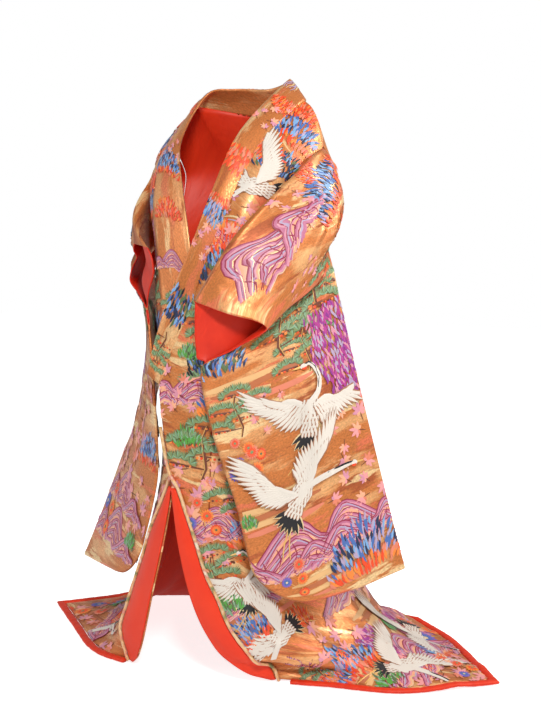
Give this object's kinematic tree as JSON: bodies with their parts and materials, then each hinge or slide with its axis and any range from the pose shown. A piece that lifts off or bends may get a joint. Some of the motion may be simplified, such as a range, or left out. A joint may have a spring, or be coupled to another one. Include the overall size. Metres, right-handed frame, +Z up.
{
  "type": "uchikake wedding kimono",
  "caption": "Floor-length brocade over-robe in its worn, hollow form, with a folded collar band, long hanging sleeves, turned-back front edges and a padded hem on a spread train.",
  "frame": {"origin": "in the neck hollow, midway between the shoulders at shoulder height, where the wearer carries the robe", "axes": "+Z up; -Y the way the wearer faces; +X towards the wearer's left"},
  "size_m": [1.2342, 0.7178, 1.3522],
  "materials": {
    "brocade": "copper-gold woven brocade with a soft sheen, scattered with embroidered cranes, pines, hills and maple leaves",
    "collar": "the same brocade, folded double",
    "lining": "plain vermilion silk, smooth with a low sheen",
    "edge": "pale gold and vermilion rolled edge, brocade folded over the wadding"
  },
  "bodies": {
    "root": {"body_left": "brocade", "body_right": "brocade", "overlap_left": "brocade", "overlap_right": "brocade", "sleeve_left": "brocade", "sleeve_right": "brocade", "collar": "collar", "facing_left": "lining", "facing_right": "lining", "edge_roll_left": "edge", "edge_roll_right": "edge", "hem_roll": "lining"}
  },
  "joints": []
}
